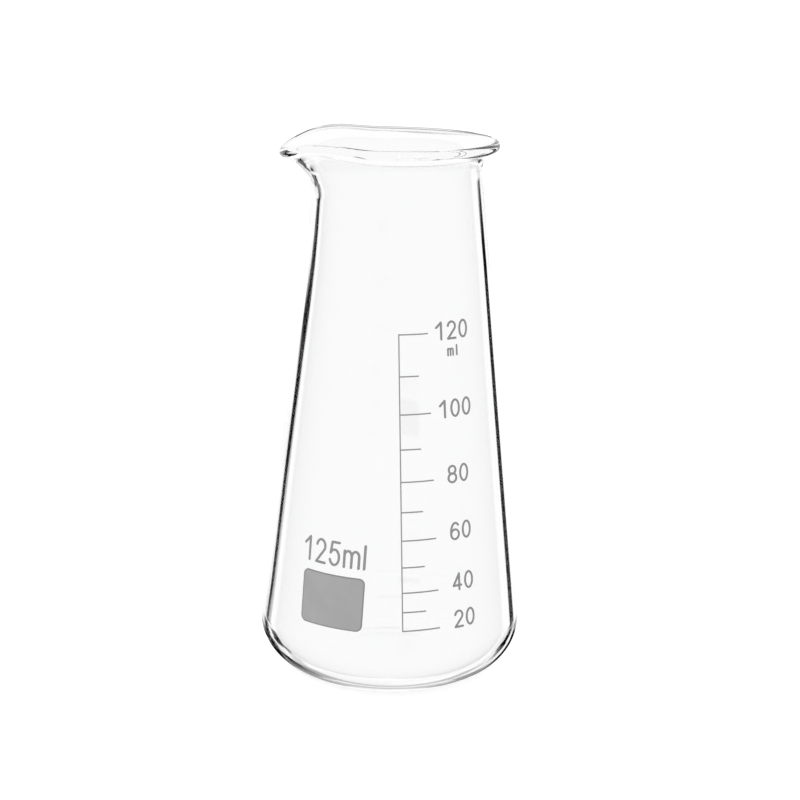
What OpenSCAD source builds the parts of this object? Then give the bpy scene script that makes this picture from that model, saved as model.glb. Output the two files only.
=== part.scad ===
// Conical laboratory beaker of 125 ml: one blown glass body with a rounded foot, a beaded rim and
// a pouring spout, and the patches of fired enamel printed on its outside.
// The origin is the middle of the base on the bench, +Z is up, the print faces -Y and the spout
// points to -X. Sizes are in millimetres and angles in degrees.

/* [Glass body] */
// Height of the round rim above the bench, at the top of its bead
height = 114.8; // [104:0.1:130]
// Widest outside diameter, just above the rounded foot
body_d = 56.8; // [50:0.1:64]
// Outside diameter of the neck, measured neck_drop below the rim
neck_d = 35.2; // [31:0.1:38]
// Distance from the rim down to where the neck is measured
neck_drop = 7.6; // [6:0.1:12]
// Outside radius of the rounded foot
foot_r = 9.7; // [6:0.1:11]
// Thickness of the wall
wall_t = 1.5; // [1:0.1:2]
// Thickness of the floor above the bench
floor_t = 2; // [1.5:0.1:3]
// Depth of the shallow dish under the base
dish_depth = 0.4; // [0.2:0.05:0.8]
// Width of the flat ring that stands on the bench around the dish
ring_w = 2.5; // [1.5:0.1:5]

/* [Lip and spout] */
// Outside diameter of the rim, away from the spout
mouth_d = 42; // [40:0.1:46]
// Diameter of the fire-polished bead that ends the rim
bead_d = 2.1; // [1.8:0.1:2.6]
// Radius of the hollow curve from the wall out to the rim
lip_curve_r = 4; // [3.5:0.1:5]
// Radius of the same curve under the spout
spout_curve_r = 8; // [7:0.1:11]
// How much larger the curve on the inside of the lip is
inner_curve_extra = 1; // [0.6:0.1:2]
// How far the spout reaches out past the round rim
spout_reach = 3.8; // [2:0.1:5]
// Angle to each side of the spout over which the rim widens towards it
spout_spread = 110; // [70:1:120]
// How far the spout's lip lies below the rim
spout_drop = 2.15; // [1:0.05:3]
// Angle to each side of the spout over which its lip dips
dip_spread = 44; // [30:1:50]
// How far the two shoulders beside the spout rise above the rim
shoulder_rise = 0.55; // [0.2:0.05:1]
// Angle from the spout to the top of each shoulder
shoulder_angle = 52; // [45:1:60]
// Angle to each side of a shoulder's top over which it fades out
shoulder_spread = 28; // [20:1:35]

/* [Scale] */
// Thickness of the fired enamel
ink_t = 0.1; // [0.05:0.01:0.2]
// Width of the scale's lines
line_w = 0.25; // [0.2:0.05:0.5]
// Height of the lowest line above the bench
low_line_z = 16.5; // [15:0.1:20]
// Distance from the rim down to the highest line
top_line_drop = 36.9; // [32:0.1:45]
// Volume between the two lowest pairs of lines, as a share of the volume between the others
low_step_share = 0.8; // [0.6:0.05:1.2]
// Angle from the front to the scale's upright line, to the right
scale_angle = 4.25; // [-5:0.05:8]
// Lean of the whole scale to the left
scale_lean = 1.5; // [0:0.1:3]
// Angle round the wall that a numbered line spans
long_line_angle = 16.5; // [14:0.1:18]
// Angle round the wall that a plain line spans
short_line_angle = 10.5; // [8:0.1:13]

/* [Numerals] */
// Height of the scale's digits
digit_h = 3.85; // [3:0.05:4.2]
// Width of the scale's digits
digit_w = 2.33; // [1.8:0.01:2.6]
// Width of the pen stroke in the scale's digits
digit_pen = 0.44; // [0.3:0.01:0.55]
// Gap between the scale's digits
digit_gap = 0.58; // [0.4:0.01:0.8]
// Angle from the middle of the scale's upright line to the middle of the column of numbers
number_angle = 30; // [28:0.05:33]
// Lean of the column of numbers to the left
number_lean = 0.65; // [0:0.05:3]
// Distance from the lowest line down to the foot of its number
low_number_drop = 0.5; // [0.3:0.05:1.8]
// Distance from the highest line down to the foot of its number
top_number_drop = 1.45; // [0.3:0.05:1.8]
// Height of the unit's letters under the top number
unit_h = 2.3; // [1.8:0.1:2.6]
// Width of the pen stroke in the unit's letters
unit_pen = 0.34; // [0.25:0.01:0.4]
// Gap between the top number and the unit under it
unit_gap = 1.1; // [0.6:0.1:2]

/* [Capacity and marking spot] */
// Height of the capacity's digits
capacity_h = 5.35; // [4.5:0.05:5.8]
// Width of the capacity's digits
capacity_w = 2.7; // [2.2:0.05:2.9]
// Width of the pen stroke in the capacity's digits and letters
capacity_pen = 0.52; // [0.35:0.01:0.65]
// Gap between the capacity's digits and letters
capacity_gap = 0.64; // [0.5:0.01:0.9]
// Gap between the marking spot and the capacity above it
capacity_lift = 1.8; // [1:0.1:3]
// Angle from the front to the middle of the marking spot, to the left
spot_angle = 26.8; // [20:0.1:32]
// Angle from the middle of the marking spot to the middle of the capacity, to the left
capacity_shift = 0.7; // [0:0.1:2]
// Width of the marking spot, straight across
spot_w = 14.4; // [11:0.1:15]
// Height of the marking spot
spot_h = 11.3; // [9:0.1:12]
// Corner radius of the marking spot
spot_r = 1.3; // [0.5:0.1:3]
// Height of the marking spot's lower edge above the bench
spot_z = 15.95; // [15:0.05:18]

/* [Hidden] */
// Facets round the body, round the 2D curves and along the sides of the dish's wide circle
round_steps = 80;
$fn = round_steps;
dish_steps = 720;
// Facets of the lip's section: along each hollow curve and round the bead
curve_steps = 7;
bead_steps = 8;
// The faceted lip is fused over the end of the round wall. Its root starts sunk inside the wall, this
// far under the spout's curve, and stands proud of both faces of the wall one and two steps higher
root_drop = 3.5;
root_step = 1;
root_sink = 0.25;
root_proud = 0.03;
// Colours of the clear glass and of the grey enamel
glass_colour = [0.80, 0.88, 0.90, 0.45];
enamel_colour = [0.62, 0.62, 0.62];
// Lines of the scale: a number at every second one, starting with the lowest
line_count = 11;
low_steps = 2;
// Proportions of the letters and digits, as shares of a glyph's width or height
small_letter_h = 0.71;
letter_m_w = 0.69;
letter_l_w = 0.02;
pen_steps = 10;

// Middle of the rounded foot's circle, and the straight wall that touches it and passes the neck
foot_centre = [body_d / 2 - foot_r, foot_r];
to_neck = [neck_d / 2, height - neck_drop] - foot_centre;
taper = asin(foot_r / norm(to_neck)) - atan2(to_neck[0], to_neck[1]);
out_dir = [cos(taper), sin(taper)];
up_dir = [-sin(taper), cos(taper)];
wall_line = foot_centre * out_dir + foot_r;
straight_wall_z = foot_centre[1] + foot_r * out_dir[1];
function wall_r(z, inset = 0) = (wall_line - inset - z * out_dir[1]) / out_dir[0];

// Heights of the scale's lines: equal volumes of the conical inside lie between them
top_line_z = height - top_line_drop;
mid_line_z = (low_line_z + top_line_z) / 2;
function cube_r(z) = pow(wall_r(z, wall_t), 3);
function volume_share(i) =
    let (low = min(i, low_steps) * low_step_share, high = max(i - low_steps, 0))
    (low + high) / (low_steps * low_step_share + line_count - 1 - low_steps);
function line_z(i) =
    let (r = pow(cube_r(low_line_z) - volume_share(i) * (cube_r(low_line_z) - cube_r(top_line_z)), 1 / 3))
    (wall_r(0, wall_t) - r) * out_dir[0] / out_dir[1];

// Height of the foot of the number at the line at place i, and the angle to a number's middle at a height
function number_z(i) =
    line_z(i) - low_number_drop
    - (top_number_drop - low_number_drop) * (line_z(i) - low_line_z) / (top_line_z - low_line_z);
function number_turn(z) =
    scale_angle + number_angle - asin((z - mid_line_z) * tan(number_lean) / wall_r(z));

// Shape of the rim: each value depends on the angle from the spout
function bump(angle, spread) = abs(angle) < spread ? pow(cos(90 * angle / spread), 2) : 0;
function bead_r(angle) = (mouth_d - bead_d) / 2 + spout_reach * bump(angle, spout_spread);
function bead_z(angle) =
    height - bead_d / 2 - spout_drop * bump(angle, dip_spread)
    + shoulder_rise * bump(abs(angle) - shoulder_angle, shoulder_spread);
function curve_r(angle) = lip_curve_r + (spout_curve_r - lip_curve_r) * bump(angle, spout_spread);

// Middle of a curve of radius r that touches the straight wall and ends dist from the bead's middle
function curve_centre(bead, inset, r, dist) =
    let (side = r - (bead * out_dir - wall_line + inset))
    bead + side * out_dir - sqrt(dist * dist - side * side) * up_dir;
function angle_of(v) = atan2(v[1], v[0]);
function arc(centre, rx, ry, start, end, steps) = [
    for (i = [0:steps])
        let (angle = start + (end - start) * i / steps)
        centre + [rx * cos(angle), ry * sin(angle)]
];
function outer_centre(angle) =
    let (bead = [bead_r(angle), bead_z(angle)])
    curve_centre(bead, 0, curve_r(angle), curve_r(angle) + bead_d / 2);
function inner_centre(angle) =
    let (bead = [bead_r(angle), bead_z(angle)], r = curve_r(angle) + inner_curve_extra)
    curve_centre(bead, wall_t, r, r - bead_d / 2);
root_z = outer_centre(0)[1] - curve_r(0) * out_dir[1] - root_drop;
wall_top_z = root_z + 1.5 * root_step;
function root_point(i, inset, side) =
    let (z = root_z + i * root_step)
    [wall_r(z, inset) + side * (i == 0 ? -root_sink : root_proud), z];
root_out = [for (i = [0:2]) root_point(i, 0, 1)];
root_in = [for (i = [2:-1:0]) root_point(i, wall_t, -1)];

// Section of the lip at an angle from the spout: up the outside, over the bead, and down the inside
function lip_section(angle) =
    let (
        bead = [bead_r(angle), bead_z(angle)],
        out_c = outer_centre(angle),
        in_c = inner_centre(angle),
        out_r = curve_r(angle),
        in_r = out_r + inner_curve_extra,
        out_end = angle_of(bead - out_c),
        in_end = angle_of(bead - in_c),
        bead_arc = arc(bead, bead_d / 2, bead_d / 2, out_end - 180, in_end, bead_steps)
    )
    concat(
        [for (p = root_out) [p[0] / cos(180 / round_steps), p[1]]],
        arc(out_c, out_r, out_r, 180 + taper, out_end, curve_steps),
        [for (i = [1:bead_steps - 1]) bead_arc[i]],
        arc(in_c, in_r, in_r, in_end, 180 + taper, curve_steps),
        root_in
    );

// Half of the revolved section under the lip: the outside, or the cavity at an inset above the floor
module half_section(inset, low, corner_r) {
    corner_z = low + corner_r;
    corner = [(wall_line - inset - corner_r - corner_z * out_dir[1]) / out_dir[0], corner_z];
    polygon([
        [0, low],
        [corner[0], low],
        corner,
        corner + corner_r * out_dir,
        [wall_r(wall_top_z, inset), wall_top_z],
        [0, wall_top_z]
    ]);
    translate(corner)
        circle(corner_r);
}

module straight_glass() {
    dish_edge = foot_centre[0] - ring_w;
    dish_r = (dish_edge * dish_edge + dish_depth * dish_depth) / (2 * dish_depth);
    rotate_extrude()
        difference() {
            half_section(0, 0, foot_r);
            half_section(wall_t, floor_t, foot_r - wall_t);
            intersection() {
                translate([0, dish_depth - dish_r])
                    circle(dish_r, $fn = dish_steps);
                translate([0, -foot_r])
                    square([dish_edge, 2 * foot_r]);
            }
        }
}

// The lip: a closed band whose section is lip_section, joined up all round
module lip_glass() {
    sections = [for (i = [0:round_steps - 1]) lip_section(i * 360 / round_steps - 180)];
    n = len(sections[0]);
    points = [
        for (i = [0:round_steps - 1], j = [0:n - 1])
            let (angle = i * 360 / round_steps, r = sections[i][j][0])
            [r * cos(angle), r * sin(angle), sections[i][j][1]]
    ];
    faces = [
        for (i = [0:round_steps - 1], j = [0:n - 1], half = [0, 1])
            let (a = i * n + j, b = i * n + (j + 1) % n, next = ((i + 1) % round_steps - i) * n)
            half == 0 ? [a, b, b + next] : [a, b + next, a + next]
    ];
    polyhedron(points, faces);
}

module glass_body() {
    color(glass_colour)
        union() {
            straight_glass();
            lip_glass();
        }
}

// The enamel is what lies in this thin skin on the straight wall
module enamel_skin() {
    rotate_extrude()
        polygon([
            [wall_r(straight_wall_z), straight_wall_z],
            [wall_r(straight_wall_z) + ink_t, straight_wall_z],
            [wall_r(root_z) + ink_t, root_z],
            [wall_r(root_z), root_z]
        ]);
}

// Print a flat drawing on the wall, at an angle to the right of the front and a height
module print_on_wall(angle, z) {
    color(enamel_colour)
        intersection() {
            enamel_skin();
            rotate([0, 0, angle])
                translate([0, 0, z])
                    rotate([90, 0, 0])
                        linear_extrude(body_d)
                            children();
        }
}

// A stroke with round ends, drawn along a path of points by a pen of a given width
function heading(path, i) =
    let (step = path[min(i + 1, len(path) - 1)] - path[max(i - 1, 0)])
    step / norm(step);
function beside(path, shift) = [
    for (i = [0:len(path) - 1])
        let (dir = heading(path, i))
        path[i] + shift * [-dir[1], dir[0]]
];
function reversed(path) = [for (i = [len(path) - 1:-1:0]) path[i]];
function round_end(point, dir, r) =
    [for (a = [60:-30:-60]) point + r * [dir[0] * cos(a) - dir[1] * sin(a), dir[1] * cos(a) + dir[0] * sin(a)]];

module pen_stroke(path, pen) {
    last = len(path) - 1;
    polygon(concat(
        beside(path, pen / 2),
        round_end(path[last], heading(path, last), pen / 2),
        reversed(beside(path, -pen / 2)),
        round_end(path[0], -heading(path, 0), pen / 2)
    ));
}

// Both halves of an oval
function oval(centre, rx, ry) = [
    arc(centre, rx, ry, -90, 90, pen_steps),
    arc(centre, rx, ry, 90, 270, pen_steps)
];

// The strokes of each glyph, in a box of w by h that the middle of the pen stays in
function glyph_strokes(glyph, w, h) =
    glyph == "0" ? oval([w / 2, h / 2], w / 2, h / 2) :
    glyph == "1" ? [[[0.14 * w, 0.70 * h], [0.72 * w, h]], [[0.72 * w, h], [0.72 * w, 0]]] :
    glyph == "2" ? [
        concat(arc([0.49 * w, 0.72 * h], 0.47 * w, 0.28 * h, 172, -28, pen_steps), [[0, 0]]),
        [[0, 0], [w, 0]]
    ] :
    glyph == "4" ? [[[0.74 * w, h], [0, 0.27 * h]], [[0, 0.27 * h], [w, 0.27 * h]], [[0.74 * w, h], [0.74 * w, 0]]] :
    glyph == "5" ? [
        [[0.95 * w, h], [0.20 * w, h]],
        [[0.20 * w, h], [0.06 * w, 0.52 * h]],
        arc([0.48 * w, 0.34 * h], 0.50 * w, 0.34 * h, 148, -160, pen_steps + 2)
    ] :
    glyph == "6" ? concat(
        oval([0.5 * w, 0.30 * h], 0.5 * w, 0.30 * h),
        [arc([0.54 * w, 0.42 * h], 0.54 * w, 0.58 * h, 190, 90, pen_steps)],
        [arc([0.54 * w, 0.78 * h], 0.40 * w, 0.22 * h, 95, 20, pen_steps / 2)]
    ) :
    glyph == "8" ? concat(
        oval([0.5 * w, 0.76 * h], 0.43 * w, 0.24 * h),
        oval([0.5 * w, 0.27 * h], 0.5 * w, 0.27 * h)
    ) :
    glyph == "m" ? [
        [[0, 0], [0, small_letter_h * h]],
        concat(arc([0.25 * w, 0.48 * h], 0.25 * w, 0.23 * h, 180, 0, pen_steps), [[0.5 * w, 0]]),
        concat(arc([0.75 * w, 0.48 * h], 0.25 * w, 0.23 * h, 180, 0, pen_steps), [[w, 0]])
    ] :
    [[[0, 0], [0, h]]];

// Width of a glyph's box, and where the box of the glyph at place i starts in a word
function glyph_w(glyph, w, h, pen) =
    glyph == "m" ? letter_m_w * h : glyph == "l" ? pen + letter_l_w * h : w;
function glyph_x(word, i, w, h, pen, gap) =
    i == 0 ? 0 : glyph_x(word, i - 1, w, h, pen, gap) + glyph_w(word[i - 1], w, h, pen) + gap;

// A word on the wall, centred at an angle, with its feet at a height
module print_word(word, angle, z, w, h, pen, gap) {
    whole = glyph_x(word, len(word), w, h, pen, gap) - gap;
    print_on_wall(angle, z)
        for (i = [0:len(word) - 1])
            translate([glyph_x(word, i, w, h, pen, gap) - whole / 2 + pen / 2, pen / 2])
                for (path = glyph_strokes(word[i], glyph_w(word[i], w, h, pen) - pen, h - pen))
                    pen_stroke(path, pen);
}

// A number of the scale beside the line at place i
module scale_number(word, i) {
    z = number_z(i);
    print_word(word, number_turn(z), z, digit_w, digit_h, digit_pen, digit_gap);
}

module marking_spot() {
    print_on_wall(-spot_angle, spot_z)
        translate([-spot_w / 2, 0]) {
            translate([spot_r, 0])
                square([spot_w - 2 * spot_r, spot_h]);
            translate([0, spot_r])
                square([spot_w, spot_h - 2 * spot_r]);
            for (x = [spot_r, spot_w - spot_r], y = [spot_r, spot_h - spot_r])
                translate([x, y])
                    circle(spot_r);
        }
}

module capacity_mark() {
    z = spot_z + spot_h + capacity_lift;
    print_word("125ml", -spot_angle - capacity_shift, z, capacity_w, capacity_h, capacity_pen, capacity_gap);
}

module graduation_scale() {
    half = (top_line_z - low_line_z + line_w) / 2 / cos(scale_lean);
    print_on_wall(scale_angle, mid_line_z)
        rotate(scale_lean) {
            translate([-line_w / 2, -half])
                square([line_w, 2 * half]);
            for (i = [0:line_count - 1]) {
                z = line_z(i);
                span = i % 2 == 0 ? long_line_angle : short_line_angle;
                translate([0, (z - mid_line_z) / cos(scale_lean) - line_w / 2])
                    square([wall_r(z) * sin(span), line_w]);
            }
        }
}

module unit_mark() {
    z = number_z(10) - unit_gap - unit_h;
    print_word("ml", number_turn(z), z, digit_w, unit_h, unit_pen, digit_gap);
}

module numeral_120() {
    scale_number("120", 10);
}

module numeral_100() {
    scale_number("100", 8);
}

module numeral_80() {
    scale_number("80", 6);
}

module numeral_60() {
    scale_number("60", 4);
}

module numeral_40() {
    scale_number("40", 2);
}

module numeral_20() {
    scale_number("20", 0);
}

glass_body();
marking_spot();
capacity_mark();
graduation_scale();
numeral_120();
unit_mark();
numeral_100();
numeral_80();
numeral_60();
numeral_40();
numeral_20();
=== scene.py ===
"""A conical laboratory beaker of clear glass with grey fired enamel printing, on a white table.

The glass is drawn as half of its section, spun round the axis of the beaker, and its lip is then
widened, dipped and raised round the pouring spout. The printing is laid onto the wall as thin skins
of enamel. Lengths are in metres and angles in radians. The spout points to -X, the print to -Y.
"""

from math import asin, atan2, cos, hypot, pi, radians, sin, sqrt

import bmesh
import bpy
from bpy.props import FloatProperty, FloatVectorProperty, IntProperty, PointerProperty
from bpy.types import Operator, Panel, PropertyGroup
from mathutils import Euler, Matrix, Vector, kdtree


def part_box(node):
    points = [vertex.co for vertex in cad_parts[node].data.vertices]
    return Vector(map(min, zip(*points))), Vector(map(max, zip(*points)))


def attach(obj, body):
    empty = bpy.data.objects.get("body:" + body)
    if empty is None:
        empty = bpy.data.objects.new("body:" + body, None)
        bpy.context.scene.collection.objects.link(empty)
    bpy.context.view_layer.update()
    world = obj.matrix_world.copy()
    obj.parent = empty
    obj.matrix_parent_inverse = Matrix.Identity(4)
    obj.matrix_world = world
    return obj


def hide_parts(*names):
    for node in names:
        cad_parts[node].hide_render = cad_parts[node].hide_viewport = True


bl_info = {
    "name": "Conical Beaker",
    "version": (1, 0, 0),
    "blender": (4, 5, 0),
    "location": "View3D > Sidebar > Beaker",
    "description": "Models a conical laboratory beaker with its spout and printed scale",
    "category": "Add Mesh",
}

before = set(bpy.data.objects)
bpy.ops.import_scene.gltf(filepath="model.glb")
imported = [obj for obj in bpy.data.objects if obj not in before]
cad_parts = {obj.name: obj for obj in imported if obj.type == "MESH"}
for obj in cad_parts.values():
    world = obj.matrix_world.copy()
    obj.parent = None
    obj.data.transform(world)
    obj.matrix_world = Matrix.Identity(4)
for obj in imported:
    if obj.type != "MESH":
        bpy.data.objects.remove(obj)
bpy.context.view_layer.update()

PRINTED = [
    "marking_spot",
    "capacity_mark",
    "graduation_scale",
    "numeral_120",
    "unit_mark",
    "numeral_100",
    "numeral_80",
    "numeral_60",
    "numeral_40",
    "numeral_20",
]

# Steps of the round stretches of the glass section.
DISH_STEPS = 8
FOOT_STEPS = 30
INNER_FOOT_STEPS = 26
CURVE_STEPS = 22
BEAD_STEPS = 30
# The points on the straight wall lie at shares of the way up to its top, and those on the floor at
# shares of the way out to its corner.
WALL_TOP = 0.096
WALL_SHARES = (0.004, 0.03, 0.1, 0.2, 0.35, 0.5, 0.65, 0.8, 0.92, 1)
FLOOR_SHARES = (0.98, 0.85, 0.6, 0.3, 0)
# Each curve of the lip has more points on the wall before it starts, a step apart.
LEAD_POINTS = 6
LEAD_STEP = 0.0003
# The inner wall's first point is at least this far above the inner foot.
LEAST_STEP = 0.0002
# Points closer than this are merged.
MERGE_GAP = 0.000002

# The unevenness of the wall is full between two heights. It fades out over a length above them, and
# towards the table below them.
UNEVEN_LOW = 0.02
UNEVEN_HIGH = 0.085
UNEVEN_FADE = 0.022
# The neck's extra thickness is 0 at one height and full a rise higher. Below that height it turns into
# a loss, which is at most the least share.
NECK_START = 0.05
NECK_RISE = 0.045
NECK_LEAST = -0.15
# The low wall's extra thickness would be 0 at this height.
BODY_FADE = 0.13


def length(name, description, default):
    """A size in metres, shown with its unit in the sidebar."""
    return FloatProperty(name=name, description=description, default=default, precision=5, unit="LENGTH")


def angle(name, description, default):
    """An angle whose default is given in degrees."""
    return FloatProperty(name=name, description=description, default=radians(default), unit="ROTATION")


def colour(name, description, default):
    """A colour in linear light."""
    kind = {"size": 3, "min": 0, "max": 1, "subtype": "COLOR"}
    return FloatVectorProperty(name=name, description=description, default=default, **kind)


def number(name, description, default, unit="NONE"):
    """A plain number."""
    return FloatProperty(name=name, description=description, default=default, unit=unit)


def count(name, description, default):
    """A whole number of steps."""
    return IntProperty(name=name, description=description, default=default, min=64, max=512)


class GlassSizes(PropertyGroup):
    """Sizes of the blown glass below its lip."""

    height: length("Rim Height", "Height of the round rim above the table", 0.1148)
    body_d: length("Body Diameter", "Widest outside diameter, just above the foot", 0.0568)
    neck_d: length("Neck Diameter", "Outside diameter of the neck", 0.0352)
    neck_drop: length("Neck Drop", "Distance from the rim down to where the neck is measured", 0.0076)
    foot_r: length("Foot Radius", "Outside radius of the rounded foot", 0.0097)
    wall_t: length("Wall Thickness", "Thickness of the wall", 0.0017)
    wall_shift: length("Wall Shift", "How far the cavity lies off the axis, away from the spout", 0.0003)
    neck_extra: length("Neck Extra", "How much thicker the neck's wall is on the spout's side", 0.0005)
    body_extra: length("Body Extra", "How much thicker the low wall is away from the spout", 0.00025)
    floor_t: length("Floor Thickness", "Thickness of the floor above the table", 0.002)
    dish_depth: length("Dish Depth", "Depth of the shallow dish under the base", 0.0004)
    ring_w: length("Ring Width", "Width of the flat ring round the dish", 0.0025)
    steps: count("Steps", "Steps of the glass round its axis", 320)


class LipSizes(PropertyGroup):
    """Sizes of the rim and of the pouring spout."""

    mouth_d: length("Mouth Diameter", "Outside diameter of the rim, away from the spout", 0.042)
    bead_d: length("Bead Diameter", "Diameter of the fire-polished bead", 0.0021)
    curve_r: length("Lip Curve", "Radius of the hollow curve out to the rim", 0.004)
    spout_curve_r: length("Spout Curve", "Radius of the same curve under the spout", 0.008)
    inner_extra: length("Inner Extra", "How much larger the curve inside the lip is", 0.001)
    spout_reach: length("Spout Reach", "How far the spout reaches past the round rim", 0.0038)
    spout_spread: angle("Spout Spread", "Angle over which the rim widens to the spout", 110)
    spout_drop: length("Spout Drop", "How far the spout's lip lies below the rim", 0.00215)
    dip_spread: angle("Dip Spread", "Angle over which the spout's lip dips", 44)
    shoulder_rise: length("Shoulder Rise", "How far the shoulders rise above the rim", 0.00055)
    shoulder_angle: angle("Shoulder Angle", "Angle from the spout to a shoulder", 52)
    shoulder_spread: angle("Shoulder Spread", "Angle over which a shoulder fades out", 28)


class PrintLooks(PropertyGroup):
    """Thickness and colours of the fired enamel."""

    proud: length("Enamel Thickness", "How far the enamel stands proud of the glass", 0.0001)
    sunk: length("Enamel Bond", "How far the enamel is fused into the glass", 0.00002)
    slice_angle: angle("Slice Angle", "Angle between the cuts that let a print bend round the wall", 1)
    spot_angle: angle("Spot Angle", "Angle from the front to the middle of the marking spot", 26.8)
    spot_edge: length("Spot Edge", "Width of the darker edge of the marking spot", 0.00035)
    spot_corner: length("Spot Corner", "Corner radius of the marking spot", 0.0013)
    spot_colour: colour("Spot Colour", "Colour of the marking spot", (0.40, 0.40, 0.40))
    print_colour: colour("Print Colour", "Colour of the lines, digits and letters", (0.30, 0.30, 0.30))


class StageSettings(PropertyGroup):
    """The table, the light and the camera."""

    table_size: length("Table Size", "Side of the square table", 6)
    table_gap: length("Table Gap", "How far the table lies under the base", 0.00002)
    table_grey: number("Table Grey", "Lightness of the table", 0.82)
    table_glow: number("Table Glow", "Light that the table adds where the camera sees it", 0.62)
    ambient: number("Ambient", "Strength of the light from all round", 0.8)
    right_extra: angle("Right Extra", "Shift of the right cards for each more bounce in the wall", 5)
    left_extra: angle("Left Extra", "Shift of the left cards for each more bounce in the wall", 8)
    card_dark: number("Card Dark", "Darkness of the cards", 0.995)
    side_dark: number("Side Dark", "Darkness of the weaker cards at the sides, as a share", 0.88)
    lamp_power: number("Lamp Power", "Power of the soft lamp overhead", 1.2, "POWER")
    lamp_size: length("Lamp Size", "Side of the square lamp", 0.5)
    lamp_turn: angle("Lamp Turn", "How far the lamp is turned about X and back about Y", 22)
    camera_distance: length("Camera Distance", "Distance of the camera in front of the axis", 0.3795)
    camera_height: length("Camera Height", "Height of the camera above the table", 0.1639)
    camera_pitch: angle("Camera Pitch", "How far the camera looks down", 15.52)
    camera_yaw: angle("Camera Yaw", "How far the camera looks to the right", 0.204)
    camera_roll: angle("Camera Roll", "How far the camera is rolled", 1.241)
    camera_lens: number("Lens", "Focal length in millimetres", 82.35, "CAMERA")


# Section of the glass


class Wall:
    """The straight side of the glass in section: it touches the foot's circle and passes the neck."""

    def __init__(self, g):
        """Works out the taper from the middle of the foot's circle and the neck."""
        self.foot = Vector((g.body_d / 2 - g.foot_r, g.foot_r))
        neck = Vector((g.neck_d / 2, g.height - g.neck_drop)) - self.foot
        self.taper = asin(g.foot_r / neck.length) - atan2(neck.x, neck.y)
        self.out = Vector((cos(self.taper), sin(self.taper)))
        self.up = Vector((-sin(self.taper), cos(self.taper)))
        self.line = self.foot.dot(self.out) + g.foot_r

    def radius(self, z, inset=0.0):
        """Radius of the wall at a height, or of a surface that lies an inset inside it."""
        return (self.line - inset - z * self.out.y) / self.out.x


def bump(turn, spread):
    """A smooth rise from 0 at spread to 1 in the middle."""
    return cos(pi / 2 * turn / spread) ** 2 if abs(turn) < spread else 0.0


def arc(centre, radius, start, end, steps):
    """Points along an arc of the section, both ends included."""
    turns = (start + (end - start) * i / steps for i in range(steps + 1))
    return [centre + radius * Vector((cos(t), sin(t))) for t in turns]


def eased(points, passes=14):
    """The same points, with the sudden start of their curve spread out. Both ends stay in place."""
    for _ in range(passes):
        inner = zip(points, points[1:], points[2:])
        points = [points[0]] + [(a + 2 * b + c) / 4 for a, b, c in inner] + [points[-1]]
    return points


def curve_centre(wall, bead, inset, radius, reach):
    """Middle of a curve that touches the wall and lies reach away from the bead's middle."""
    side = radius - (bead.dot(wall.out) - wall.line + inset)
    return bead + side * wall.out - sqrt(reach * reach - side * side) * wall.up


def lip_section(g, lip, wall, turn):
    """The lip's section at an angle from the spout: up the outside, over the bead and down the inside."""
    widen = bump(turn, lip.spout_spread)
    dip = lip.spout_drop * bump(turn, lip.dip_spread)
    rise = lip.shoulder_rise * bump(abs(turn) - lip.shoulder_angle, lip.shoulder_spread)
    bead_r = lip.bead_d / 2
    bead = Vector((lip.mouth_d / 2 - bead_r + lip.spout_reach * widen, g.height - bead_r - dip + rise))
    out_r = lip.curve_r + (lip.spout_curve_r - lip.curve_r) * widen
    in_r = out_r + lip.inner_extra
    out_c = curve_centre(wall, bead, 0, out_r, out_r + bead_r)
    in_c = curve_centre(wall, bead, g.wall_t, in_r, in_r - bead_r)
    out_end = atan2(bead.y - out_c.y, bead.x - out_c.x)
    in_end = atan2(bead.y - in_c.y, bead.x - in_c.x)
    outside = arc(out_c, out_r, pi + wall.taper, out_end, CURVE_STEPS)
    over = arc(bead, bead_r, out_end - pi, in_end, BEAD_STEPS)
    inside = arc(in_c, in_r, in_end, pi + wall.taper, CURVE_STEPS)
    lead = [LEAD_STEP * step * wall.up for step in range(1, LEAD_POINTS + 1)]
    outside = eased([outside[0] - up for up in reversed(lead)] + outside)
    inside = eased(inside + [inside[-1] - up for up in lead])
    return outside + over[1:-1] + inside


def glass_section(g, lip, wall):
    """Half of the whole section from the middle of the dish, over the lip, to the middle of the floor.
    Also returns where the lip starts and ends in the list."""
    ring = wall.foot.x - g.ring_w
    ball = (ring * ring + g.dish_depth**2) / (2 * g.dish_depth)
    across = [ring * step / DISH_STEPS for step in range(DISH_STEPS + 1)]
    dish = [Vector((r, g.dish_depth - ball + sqrt(ball * ball - r * r))) for r in across]
    dish[-1].y = 0
    foot = arc(wall.foot, g.foot_r, -pi / 2, wall.taper, FOOT_STEPS)
    lip_part = lip_section(g, lip, wall, lip.spout_spread)
    start = foot[-1].y
    heights = [start + (WALL_TOP - start) * share for share in WALL_SHARES]
    outer_wall = [Vector((wall.radius(z), z)) for z in heights]
    inner_r = g.foot_r - g.wall_t
    corner_z = g.floor_t + inner_r
    corner = Vector((wall.radius(corner_z, g.foot_r), corner_z))
    inner_foot = arc(corner, inner_r, wall.taper, -pi / 2, INNER_FOOT_STEPS)
    inner_heights = [z for z in reversed(heights) if z > inner_foot[0].y + LEAST_STEP]
    inner_wall = [Vector((wall.radius(z, g.wall_t), z)) for z in inner_heights]
    floor = [Vector((corner.x * share, g.floor_t)) for share in FLOOR_SHARES]
    below = dish + foot + outer_wall
    return below + lip_part + inner_wall + inner_foot + floor, len(below), len(below) + len(lip_part)


def start_piece():
    """Leaves edit mode and deselects everything, so that what follows acts on one piece alone."""
    if bpy.context.object and bpy.context.object.mode != "OBJECT":
        bpy.ops.object.mode_set(mode="OBJECT")
    bpy.ops.object.select_all(action="DESELECT")


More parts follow.
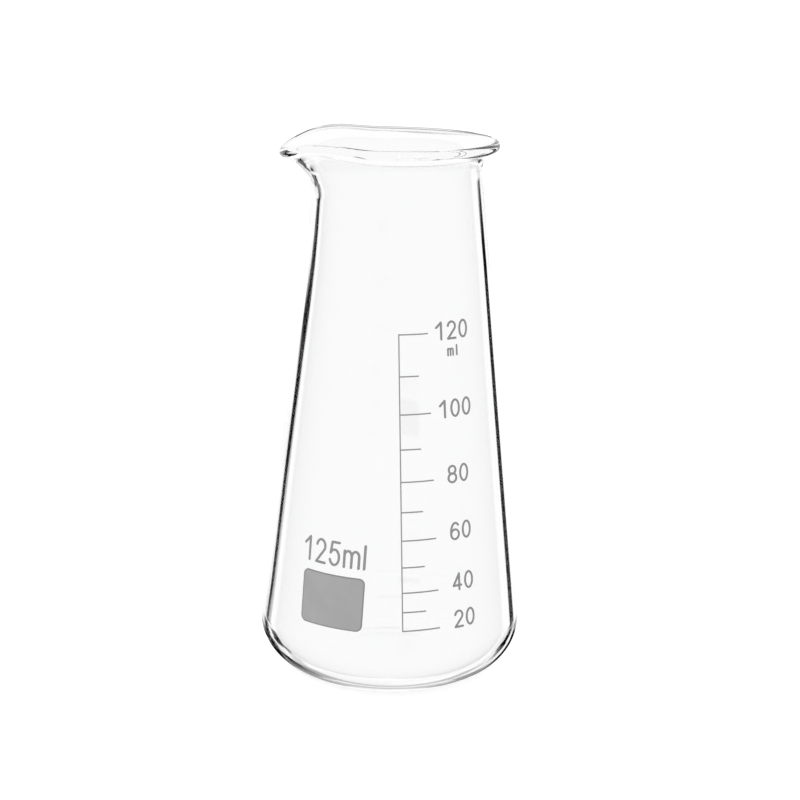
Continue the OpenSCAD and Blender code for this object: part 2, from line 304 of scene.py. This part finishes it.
def make_active(piece):
    """Selects one piece alone."""
    start_piece()
    piece.select_set(True)
    bpy.context.view_layer.objects.active = piece


# Materials


def new_material(name):
    """An empty node material and its Principled shader."""
    material = bpy.data.materials.new(name)
    material.use_nodes = True
    return material, material.node_tree, material.node_tree.nodes["Principled BSDF"]


def add_node(tree, kind, values=None, **settings):
    """A node with some of its settings and unlinked inputs filled in."""
    made = tree.nodes.new(kind)
    for key, value in settings.items():
        setattr(made, key, value)
    for key, value in (values or {}).items():
        made.inputs[key].default_value = value
    return made


def maths(tree, operation, first, second=None, third=None):
    """A Math node whose operands are sockets or numbers."""
    made = add_node(tree, "ShaderNodeMath", operation=operation)
    for place, operand in enumerate((first, second, third)):
        if operand is None:
            continue
        if isinstance(operand, (int, float)):
            made.inputs[place].default_value = operand
        else:
            tree.links.new(operand, made.inputs[place])
    return made.outputs[0]


def smooth_mask(tree, value, low, high):
    """A mask that rises smoothly from 0 at low to 1 at high."""
    span = {"From Min": low, "From Max": high}
    made = add_node(tree, "ShaderNodeMapRange", interpolation_type="SMOOTHSTEP", values=span)
    tree.links.new(value, made.inputs["Value"])
    return made.outputs["Result"]


def both(tree, first, *others):
    """A mask that holds where every one of the given masks does."""
    for other in others:
        first = maths(tree, "MULTIPLY", first, other)
    return first


def either(tree, first, *others):
    """A mask that holds where at least one of the given masks does."""
    for other in others:
        first = maths(tree, "MAXIMUM", first, other)
    return first


def rest_of(tree, mask):
    """A mask that holds where the given one doesn't."""
    return maths(tree, "SUBTRACT", 1.0, mask)


def swing(tree, noise, size):
    """A noise as a swing to both sides of zero."""
    return maths(tree, "MULTIPLY", maths(tree, "SUBTRACT", noise.outputs["Fac"], 0.5), size)


def mottle_group():
    """Fired enamel: a cloudy change of colour, fine speckles and a slightly sandy surface."""
    group = bpy.data.node_groups.new("Fired Enamel Mottle", "ShaderNodeTree")
    for name, kind in (("Coords", "Vector"), ("Colour", "Color"), ("Cloud", "Float"), ("Speckle", "Float")):
        group.interface.new_socket(name, in_out="INPUT", socket_type="NodeSocket" + kind)
    for name, kind in (("Colour", "Color"), ("Roughness", "Float"), ("Height", "Float")):
        group.interface.new_socket(name, in_out="OUTPUT", socket_type="NodeSocket" + kind)
    source = add_node(group, "NodeGroupInput")
    result = add_node(group, "NodeGroupOutput")
    cloud = add_node(group, "ShaderNodeTexNoise", values={"Scale": 260.0, "Detail": 3.0, "Roughness": 0.55})
    grain = add_node(group, "ShaderNodeTexNoise", values={"Scale": 5200.0, "Detail": 2.0, "Roughness": 0.6})
    for noise in (cloud, grain):
        group.links.new(source.outputs["Coords"], noise.inputs["Vector"])
    rough_span, rough_least = 0.3, 0.42
    clouds = swing(group, cloud, source.outputs["Cloud"])
    specks = swing(group, grain, source.outputs["Speckle"])
    level = maths(group, "ADD", maths(group, "ADD", clouds, specks), 1.0)
    scaled = add_node(group, "ShaderNodeVectorMath", operation="SCALE")
    group.links.new(source.outputs["Colour"], scaled.inputs[0])
    group.links.new(level, scaled.inputs["Scale"])
    group.links.new(scaled.outputs["Vector"], result.inputs["Colour"])
    rough = maths(group, "MULTIPLY_ADD", grain.outputs["Fac"], rough_span, rough_least)
    group.links.new(rough, result.inputs["Roughness"])
    group.links.new(grain.outputs["Fac"], result.inputs["Height"])
    return group


def place_mottle(tree, shader, coords, tint, cloud, speckle):
    """The mottle group feeding a shader's roughness and bump. Returns its colour."""
    group = bpy.data.node_groups.get("Fired Enamel Mottle") or mottle_group()
    mottle = add_node(tree, "ShaderNodeGroup", node_tree=group, values={"Cloud": cloud, "Speckle": speckle})
    mottle.inputs["Colour"].default_value = (*tint, 1)
    bump_node = add_node(tree, "ShaderNodeBump", values={"Strength": 0.35, "Distance": 0.00001})
    tree.links.new(coords, mottle.inputs["Coords"])
    tree.links.new(mottle.outputs["Roughness"], shader.inputs["Roughness"])
    tree.links.new(mottle.outputs["Height"], bump_node.inputs["Height"])
    tree.links.new(bump_node.outputs["Normal"], shader.inputs["Normal"])
    return mottle.outputs["Colour"]


def print_enamel(looks):
    """Grey enamel of the lines, digits and letters."""
    material, tree, shader = new_material("Grey Fired Enamel")
    coords = add_node(tree, "ShaderNodeTexCoord").outputs["Object"]
    tint = place_mottle(tree, shader, coords, looks.print_colour, 0.14, 0.22)
    tree.links.new(tint, shader.inputs["Base Color"])
    return material


def past_limit(tree, place, limit):
    """How far a place lies past a limit on either side of the middle, and 0 within it."""
    past = maths(tree, "SUBTRACT", maths(tree, "ABSOLUTE", place), limit)
    return maths(tree, "MAXIMUM", past, 0.0)


def spot_enamel(looks):
    """Enamel of the marking spot, with a darker edge where the paste gathered."""
    material, tree, shader = new_material("Marking Spot Enamel")
    coords = add_node(tree, "ShaderNodeTexCoord").outputs["Object"]
    low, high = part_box("marking_spot")
    half_h = (high.z - low.z) / 2
    half_w = 0.0072
    corner = looks.spot_corner
    full_share, edge_tint = 0.4, 0.62
    turned = add_node(tree, "ShaderNodeMapping", vector_type="POINT")
    turned.inputs["Rotation"].default_value = (0, 0, looks.spot_angle)
    turned.inputs["Location"].default_value = (0, 0, -(low.z + high.z) / 2)
    tree.links.new(coords, turned.inputs["Vector"])
    parts = add_node(tree, "ShaderNodeSeparateXYZ")
    tree.links.new(turned.outputs["Vector"], parts.inputs[0])
    across = past_limit(tree, parts.outputs["X"], half_w - corner)
    along = past_limit(tree, parts.outputs["Z"], half_h - corner)
    squares = maths(tree, "ADD", maths(tree, "POWER", across, 2.0), maths(tree, "POWER", along, 2.0))
    outwards = maths(tree, "SQRT", squares)
    edge = smooth_mask(tree, outwards, corner - looks.spot_edge, corner - looks.spot_edge * full_share)
    tint = place_mottle(tree, shader, coords, looks.spot_colour, 0.2, 0.1)
    mix = add_node(tree, "ShaderNodeMix", data_type="RGBA")
    mix.inputs["B"].default_value = (*(c * edge_tint for c in looks.spot_colour), 1)
    tree.links.new(edge, mix.inputs["Factor"])
    tree.links.new(tint, mix.inputs["A"])
    tree.links.new(mix.outputs["Result"], shader.inputs["Base Color"])
    return material


def wavy_surface(tree, shader, coords):
    """The faint waviness that blowing leaves, and a thin film of smears."""
    stretch = add_node(tree, "ShaderNodeMapping")
    stretch.inputs["Scale"].default_value = (1, 1, 0.25)
    tree.links.new(coords, stretch.inputs["Vector"])
    waves = add_node(tree, "ShaderNodeTexNoise", values={"Scale": 45.0, "Detail": 1.0, "Roughness": 0.4})
    tree.links.new(stretch.outputs["Vector"], waves.inputs["Vector"])
    ripple = add_node(tree, "ShaderNodeBump", values={"Strength": 0.25, "Distance": 0.00012})
    tree.links.new(waves.outputs["Fac"], ripple.inputs["Height"])
    tree.links.new(ripple.outputs["Normal"], shader.inputs["Normal"])
    smears = add_node(tree, "ShaderNodeTexNoise", values={"Scale": 120.0, "Detail": 4.0, "Roughness": 0.6})
    tree.links.new(coords, smears.inputs["Vector"])
    film_start, film_full, film_rough = 0.62, 0.9, 0.02
    film = smooth_mask(tree, smears.outputs["Fac"], film_start, film_full)
    tree.links.new(maths(tree, "MULTIPLY", film, film_rough), shader.inputs["Roughness"])


# Painted shade: zones where the painted glow of caught light is left out, so that the glass stays dark,
# in the object's own coordinates. Each of these zones of the lip fades in between two values of Y, from
# the front to the back, and two heights.
RIM_ZONE = ((-0.007, -0.003), (0.0855, 0.0875))
TIP_ZONE = ((0.004, 0.005), (0.103, 0.104))
ROOT_ZONE = ((0.014, 0.015), (0.091, 0.092))
# A stretch of the left wall with painted shade: middle and half size in Z and in Y, and the X that it
# starts at.
WALL_STRETCH = ((0.0485, 0.0065), (0.001, 0.010), -0.0217)
# The foot is painted dark below these heights, except in gaps on the right, on the left and in the floor.
# The gaps at the sides are measured as Y less the distance from the middle plane.
FOOT_FADE = (0.006, 0.0045)
RIGHT_GAP = (-0.0259, 0.0013)
LEFT_GAP = -0.0275
FLOOR_TOP = 0.0025
FLOOR_START = -0.0085
FLOOR_GAP = (0.0155, 0.008)


def painted_dark_lip_zone(tree, y, z, zone):
    """A mask over one zone of the lip with painted shade."""
    return both(tree, smooth_mask(tree, y, *zone[0]), smooth_mask(tree, z, *zone[1]))


def painted_dark_zones(tree, coords):
    """A mask over all places of painted shade, where the painted glow of caught light is left out."""
    place = add_node(tree, "ShaderNodeSeparateXYZ")
    tree.links.new(coords, place.inputs[0])
    x, y, z = place.outputs
    turned = maths(tree, "SUBTRACT", y, maths(tree, "ABSOLUTE", x))
    right = maths(tree, "GREATER_THAN", x, 0.0)
    left = maths(tree, "LESS_THAN", x, 0.0)
    rim = both(tree, painted_dark_lip_zone(tree, y, z, RIM_ZONE), right)
    spout = either(tree, painted_dark_lip_zone(tree, y, z, TIP_ZONE), painted_dark_lip_zone(tree, y, z, ROOT_ZONE))
    lip = either(tree, rim, both(tree, spout, left))
    heights, depths, start = WALL_STRETCH
    stretch = both(tree, maths(tree, "COMPARE", z, *heights), maths(tree, "COMPARE", y, *depths))
    stretch = both(tree, stretch, maths(tree, "LESS_THAN", x, start))
    right_gap = both(tree, maths(tree, "COMPARE", turned, *RIGHT_GAP), right)
    left_gap = both(tree, maths(tree, "LESS_THAN", turned, LEFT_GAP), left)
    floor = both(tree, maths(tree, "LESS_THAN", z, FLOOR_TOP), maths(tree, "GREATER_THAN", x, FLOOR_START))
    floor = both(tree, floor, maths(tree, "COMPARE", y, *FLOOR_GAP))
    gaps = either(tree, maths(tree, "ADD", right_gap, left_gap), floor)
    foot = both(tree, smooth_mask(tree, z, *FOOT_FADE), rest_of(tree, gaps))
    return either(tree, lip, stretch, foot)


def painted_glow_of_caught_light(tree, shader, coords):
    """A painted glow: emission at a late bounce of light that has entered the glass and not left it again,
    standing in for the light of later bounces. Real light of this kind comes from the white surroundings,
    so the painted glow is white, except in the painted dark zones."""
    late_bounce, painted_glow_level = 6.0, 0.95
    path = add_node(tree, "ShaderNodeLightPath")
    caught = maths(tree, "COMPARE", path.outputs["Ray Depth"], late_bounce, 0.5)
    caught = both(tree, caught, maths(tree, "LESS_THAN", path.outputs["Transmission Depth"], 1.5))
    painted_glow_mask = both(tree, caught, rest_of(tree, painted_dark_zones(tree, coords)))
    glow = add_node(tree, "ShaderNodeVectorMath", operation="SCALE")
    glow.inputs[0].default_value = (painted_glow_level, painted_glow_level, painted_glow_level)
    tree.links.new(painted_glow_mask, glow.inputs["Scale"])
    tree.links.new(glow.outputs["Vector"], shader.inputs["Emission Color"])
    shader.inputs["Emission Strength"].default_value = 1.0


def clear_glass():
    """Clear borosilicate glass, with a painted glow of caught light and painted dark zones."""
    material, tree, shader = new_material("Clear Borosilicate Glass")
    shader.inputs["Base Color"].default_value = (0.992, 0.994, 0.993, 1)
    shader.inputs["Metallic"].default_value = 0.0
    shader.inputs["Transmission Weight"].default_value = 1.0
    shader.inputs["IOR"].default_value = 1.473
    coords = add_node(tree, "ShaderNodeTexCoord").outputs["Object"]
    wavy_surface(tree, shader, coords)
    # Painted glow that stands in for light caught in the glass, with painted shade in the dark zones.
    painted_glow_of_caught_light(tree, shader, coords)
    return material


# Pieces


class BEAKER_OT_blow_glass(Operator):
    """Spin the section of the glass and shape the lip round the spout"""

    bl_idname = "beaker.blow_glass"
    bl_label = "Blow Glass Body"

    def execute(self, context):
        g, lip = context.scene.beaker_glass, context.scene.beaker_lip
        wall = Wall(g)
        section, lip_start, lip_end = glass_section(g, lip, wall)
        start_piece()
        first = Vector((section[0].x, 0, section[0].y))
        upright = (pi / 2, 0, 0)
        bpy.ops.mesh.primitive_plane_add(size=0.001, location=first, rotation=upright, enter_editmode=True)
        bpy.ops.mesh.merge(type="CENTER")
        for here, there in zip(section, section[1:]):
            step = (there.x - here.x, 0, there.y - here.y)
            bpy.ops.mesh.extrude_region_move(TRANSFORM_OT_translate={"value": step})
        bpy.ops.mesh.select_all(action="SELECT")
        bpy.ops.mesh.spin(steps=g.steps, angle=2 * pi, center=(0, 0, 0), axis=(0, 0, 1))
        bpy.ops.mesh.select_all(action="SELECT")
        bpy.ops.mesh.remove_doubles(threshold=MERGE_GAP)
        piece = context.object
        piece.name = piece.data.name = "blown_glass"
        bpy.ops.object.mode_set(mode="OBJECT")
        bpy.ops.object.transform_apply(location=True, rotation=True, scale=True)
        self.shape_lip(piece.data, g, lip, wall, section, lip_start, lip_end)
        self.shift_cavity(piece.data, g, wall)
        bpy.ops.object.mode_set(mode="EDIT")
        bpy.ops.mesh.select_all(action="SELECT")
        bpy.ops.mesh.normals_make_consistent(inside=False)
        bpy.ops.object.mode_set(mode="OBJECT")
        bpy.ops.object.shade_smooth()
        piece.data.materials.append(clear_glass())
        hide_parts("glass_body")
        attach(piece, "root")
        return {"FINISHED"}

    def shape_lip(self, mesh, g, lip, wall, section, lip_start, lip_end):
        """Moves each ring of the lip from the plain section to the one at its angle."""
        tree = kdtree.KDTree(len(section))
        for place, point in enumerate(section):
            tree.insert((point.x, point.y, 0), place)
        tree.balance()
        shapes = {}
        for vertex in mesh.vertices:
            x, y, z = vertex.co
            place = tree.find((hypot(x, y), z, 0))[1]
            if not lip_start <= place < lip_end:
                continue
            turn = pi - abs(atan2(y, x))
            if turn >= lip.spout_spread:
                continue
            key = round(turn, 5)
            if key not in shapes:
                shapes[key] = lip_section(g, lip, wall, turn)
            r, z = shapes[key][place - lip_start]
            out = Vector((x, y)).normalized() * r
            vertex.co = (out.x, out.y, z)

    def shift_cavity(self, mesh, g, wall):
        """Moves the inside of the wall away from the spout and makes some of it thicker, because blown
        glass is uneven."""
        near_axis, floor_share = 0.001, 0.9
        for vertex in mesh.vertices:
            x, y, z = vertex.co
            r = hypot(x, y)
            if r > wall.radius(z, g.wall_t / 2) or z < g.floor_t * floor_share or r < near_axis:
                continue
            share = bump(max(z - UNEVEN_HIGH, 0), UNEVEN_FADE) * bump(max(UNEVEN_LOW - z, 0), UNEVEN_LOW)
            neck = max((z - NECK_START) / NECK_RISE, NECK_LEAST)
            spout_side = ((1 - x / r) / 2) ** 2 * g.neck_extra * neck
            far_side = ((1 + x / r) / 2) ** 2 * g.body_extra * (1 - z / BODY_FADE)
            inward = (spout_side + far_side) * share
            vertex.co.x += g.wall_shift * share - x / r * inward
            vertex.co.y -= y / r * inward


class BEAKER_OT_fire_print(Operator):
    """Lay each printed mark onto the wall as a thin skin of enamel"""

    bl_idname = "beaker.fire_print"
    bl_label = "Fire Printed Marks"

    def execute(self, context):
        looks = context.scene.beaker_print
        wall = Wall(context.scene.beaker_glass)
        grey, spot = print_enamel(looks), spot_enamel(looks)
        for node in PRINTED:
            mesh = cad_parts[node].data.copy()
            mesh.materials.clear()
            mesh.materials.append(spot if node == "marking_spot" else grey)
            piece = bpy.data.objects.new("fired_" + node, mesh)
            context.scene.collection.objects.link(piece)
            self.wrap(piece, looks, wall)
            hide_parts(node)
            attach(piece, "root")
        return {"FINISHED"}

    def wrap(self, piece, looks, wall):
        """Cuts the skin into upright slices and bends it onto the cone of the wall."""
        make_active(piece)
        bpy.ops.object.mode_set(mode="EDIT")
        bpy.ops.mesh.select_all(action="SELECT")
        bpy.ops.mesh.remove_doubles(threshold=MERGE_GAP)
        bpy.ops.mesh.customdata_custom_splitnormals_clear()
        turns = [atan2(v.co.x, -v.co.y) for v in bmesh.from_edit_mesh(piece.data).verts]
        first = int(min(turns) / looks.slice_angle) - 1
        last = int(max(turns) / looks.slice_angle) + 1
        for place in range(first, last + 1):
            turn = place * looks.slice_angle
            bpy.ops.mesh.select_all(action="SELECT")
            bpy.ops.mesh.bisect(plane_co=(0, 0, 0), plane_no=(cos(turn), sin(turn), 0))
        bpy.ops.object.mode_set(mode="OBJECT")
        for vertex in piece.data.vertices:
            x, y, z = vertex.co
            skin = wall.radius(z)
            outer = hypot(x, y) > skin + looks.proud / 2
            out = Vector((x, y)).normalized() * (skin + looks.proud if outer else skin - looks.sunk)
            vertex.co = (out.x, out.y, z)
        bpy.ops.object.shade_smooth_by_angle(angle=radians(30))


# Stage

# Dark cards that the wall shows: first and last angle in degrees, lowest and highest rise, darkness.
# An angle is measured from the middle of the backdrop, and a minus angle lies on the left. A rise is
# the upright share of the direction.
WALL_CARDS = (
    (25.8, 38.7, -0.42, -0.079, 1.0),
    (-45.7, -33.8, -0.33, -0.145, 1.0),
    (-45, -31, -0.168, -0.12, 1.0),
    (-47, -37, -0.145, -0.045, 1.0),
)
# Cards that the rounded foot shows.
FOOT_CARDS = (
    (15, 34, -0.57, -0.43, 1.0),
    (20, 36.5, -0.60, -0.54, 0.9),
    (6, 16, -0.60, -0.49, 0.3),
    (-34, -20, -0.43, -0.35, 1.0),
    (-29, -12, -0.56, -0.40, 1.0),
    (-22.5, -8, -0.66, -0.48, 1.0),
    (-53, -37.5, -0.60, -0.42, 1.0),
    (-57, -43.5, -0.67, -0.58, 1.0),
    (-60, -30, -0.75, -0.67, 0.4),
    (-28, 28, -0.77, -0.66, 0.6),
    (-10, 10, -0.56, -0.42, 0.6),
)
# Cards that the outside of the glass mirrors.
MIRRORED_CARDS = (
    (33, 45, -0.40, -0.05, 1.0),
    (39, 56, -0.51, -0.38, 1.0),
    (42, 57, -0.57, -0.50, 0.6),
    (8, 29, -0.59, -0.40, 1.0),
    (-62, -50, -0.125, -0.04, 1.0),
    (-58, -45, -0.18, -0.10, 1.0),
    (-54, -43, -0.24, -0.15, 1.0),
    (-51, -41, -0.36, -0.21, 1.0),
    (-44, -35, -0.42, -0.31, 1.0),
    (-64, -50, -0.53, -0.38, 1.0),
    (-46, -14, -0.61, -0.40, 1.0),
    (-48, -36, -0.70, -0.59, 1.0),
    (-48, -26, -0.76, -0.65, 0.6),
)


# The weaker cards fade in between these angles on either side.
SIDE_START = (52, 58)
# Light with more bounces than the direct ones ran on inside the wall, and each further bounce shifts
# the cards, up to the most shifts.
DIRECT_BOUNCES = 4.5
MOST_SHIFTS = 4.0
# Light on the dark line of a wall has bounced so often and crossed the surface so often.
LINE_BOUNCES, LINE_CROSSINGS = 4, 2


def between(tree, value, low, high):
    """A mask that is 1 between low and high, with soft ends."""
    soft = 0.017
    rise = smooth_mask(tree, value, low - soft, low + soft)
    return both(tree, rise, smooth_mask(tree, value, high + soft, high - soft))


def cards(tree, turn, height, table):
    """Darkness of a table of cards in the direction of the light."""
    total = 0.0
    for first, last, low, high, dark in table:
        across = between(tree, turn, radians(first), radians(last))
        shade = both(tree, across, between(tree, height, low, high), dark)
        total = either(tree, shade, total)
    return total


def card_shade(tree, path, stage):
    """Darkness of all cards in the direction of the light. Light that the outside of the glass mirrors
    meets its own cards, and light along the line inside the wall meets the weaker ones as well."""
    way = add_node(tree, "ShaderNodeSeparateXYZ")
    tree.links.new(add_node(tree, "ShaderNodeTexCoord").outputs["Generated"], way.inputs[0])
    turn, height = maths(tree, "ARCTAN2", way.outputs["X"], way.outputs["Y"]), way.outputs["Z"]
    bounces, crossings = path.outputs["Ray Depth"], path.outputs["Transmission Depth"]
    shifts = maths(tree, "MAXIMUM", maths(tree, "SUBTRACT", bounces, DIRECT_BOUNCES), 0.0)
    shifts = maths(tree, "MINIMUM", shifts, MOST_SHIFTS)
    both_extras = stage.right_extra + stage.left_extra
    extra = maths(tree, "MULTIPLY", maths(tree, "GREATER_THAN", turn, 0.0), both_extras)
    extra = maths(tree, "SUBTRACT", extra, stage.left_extra)
    shifted = maths(tree, "ADD", turn, maths(tree, "MULTIPLY", shifts, extra))
    seen = cards(tree, shifted, height, WALL_CARDS + FOOT_CARDS)
    outside = maths(tree, "LESS_THAN", crossings, 0.5)
    seen = both(tree, seen, rest_of(tree, outside))
    mirrored = both(tree, cards(tree, turn, height, MIRRORED_CARDS), outside)
    in_wall = maths(tree, "COMPARE", bounces, LINE_BOUNCES, 0.5)
    in_wall = both(tree, in_wall, maths(tree, "COMPARE", crossings, LINE_CROSSINGS, 0.5))
    start, full = (radians(degrees) for degrees in SIDE_START)
    side = smooth_mask(tree, maths(tree, "ABSOLUTE", turn), start, full)
    side = both(tree, side, in_wall, stage.side_dark)
    one_wall = maths(tree, "LESS_THAN", crossings, 3.5)
    return both(tree, either(tree, seen, mirrored, side), one_wall, stage.card_dark)


def world_light(stage):
    """White surroundings with dark cards beside the backdrop, as in a bright-field photograph: they
    give the wall its dark edges. Weaker cards do the same for the views from the sides and back."""
    world = bpy.data.worlds.new("White Tent")
    bpy.context.scene.world = world
    world.use_nodes = True
    tree = world.node_tree
    background = tree.nodes["Background"]
    path = add_node(tree, "ShaderNodeLightPath")
    level = both(tree, rest_of(tree, card_shade(tree, path, stage)), path.outputs["Is Glossy Ray"])
    level = either(tree, level, path.outputs["Is Camera Ray"])
    lighting = maths(tree, "MULTIPLY", path.outputs["Is Diffuse Ray"], stage.ambient)
    tree.links.new(either(tree, level, lighting), background.inputs["Strength"])
    background.inputs["Color"].default_value = (1, 1, 1, 1)


def table_white(stage):
    """A white table that keeps the shadow and joins the white surroundings."""
    material, tree, shader = new_material("White Table")
    grey = stage.table_grey
    shader.inputs["Base Color"].default_value = (grey, grey, grey, 1)
    shader.inputs["Roughness"].default_value = 0.9
    shader.inputs["Specular IOR Level"].default_value = 0.0
    shader.inputs["Emission Color"].default_value = (1, 1, 1, 1)
    path = add_node(tree, "ShaderNodeLightPath")
    glow = maths(tree, "MULTIPLY", path.outputs["Is Camera Ray"], stage.table_glow)
    tree.links.new(glow, shader.inputs["Emission Strength"])
    return material


# The soft lamp hangs up on the left, in front of the beaker.
LAMP_PLACE = (-0.25, -0.2, 0.6)
# Light is followed through this many bounces, which clear glass needs.
BOUNCES = 12


class BEAKER_OT_set_stage(Operator):
    """Make the table, the light and the camera"""

    bl_idname = "beaker.set_stage"
    bl_label = "Set Stage"

    def execute(self, context):
        stage = context.scene.beaker_stage
        start_piece()
        bpy.ops.mesh.primitive_plane_add(size=stage.table_size, location=(0, 0, -stage.table_gap))
        table = context.object
        table.name = table.data.name = "white_table"
        bpy.ops.object.transform_apply(location=True)
        table.data.materials.append(table_white(stage))
        table.visible_transmission = table.visible_glossy = False
        world_light(stage)
        start_piece()
        aim = (stage.lamp_turn, -stage.lamp_turn, 0)
        bpy.ops.object.light_add(type="AREA", location=LAMP_PLACE, rotation=aim)
        lamp = context.object
        lamp.name = "soft_lamp"
        lamp.data.size = stage.lamp_size
        lamp.data.energy = stage.lamp_power
        lamp.visible_glossy = lamp.visible_transmission = False
        start_piece()
        bpy.ops.object.camera_add(location=(0, -stage.camera_distance, stage.camera_height))
        camera = context.object
        aim = Euler((pi / 2 - stage.camera_pitch, 0, -stage.camera_yaw)).to_matrix()
        camera.rotation_euler = (aim @ Matrix.Rotation(stage.camera_roll, 3, "Z")).to_euler()
        camera.data.lens = stage.camera_lens
        camera.data.clip_start = 0.01
        context.scene.camera = camera
        context.scene.view_settings.view_transform = "Standard"
        context.scene.cycles.max_bounces = context.scene.cycles.glossy_bounces = BOUNCES
        return {"FINISHED"}


class BEAKER_PT_sidebar(Panel):
    """The steps of the model in order"""

    bl_label = "Conical Beaker"
    bl_idname = "BEAKER_PT_sidebar"
    bl_space_type = "VIEW_3D"
    bl_region_type = "UI"
    bl_category = "Beaker"

    def draw(self, context):
        column = self.layout.column()
        for group_name, group in SETTINGS.items():
            for name in group.__annotations__:
                column.prop(getattr(context.scene, group_name), name)
        for step in OPERATORS:
            column.operator(step.bl_idname)


SETTINGS = {
    "beaker_glass": GlassSizes,
    "beaker_lip": LipSizes,
    "beaker_print": PrintLooks,
    "beaker_stage": StageSettings,
}
OPERATORS = (BEAKER_OT_blow_glass, BEAKER_OT_fire_print, BEAKER_OT_set_stage)


def register():
    for name, group in SETTINGS.items():
        bpy.utils.register_class(group)
        setattr(bpy.types.Scene, name, PointerProperty(type=group))
    for step in (*OPERATORS, BEAKER_PT_sidebar):
        bpy.utils.register_class(step)


def unregister():
    for step in (BEAKER_PT_sidebar, *reversed(OPERATORS)):
        bpy.utils.unregister_class(step)
    for name, group in SETTINGS.items():
        delattr(bpy.types.Scene, name)
        bpy.utils.unregister_class(group)


def main():
    """Makes the beaker and its stage."""
    register()
    bpy.ops.beaker.blow_glass()
    bpy.ops.beaker.fire_print()
    bpy.ops.beaker.set_stage()


if __name__ == "__main__":
    main()
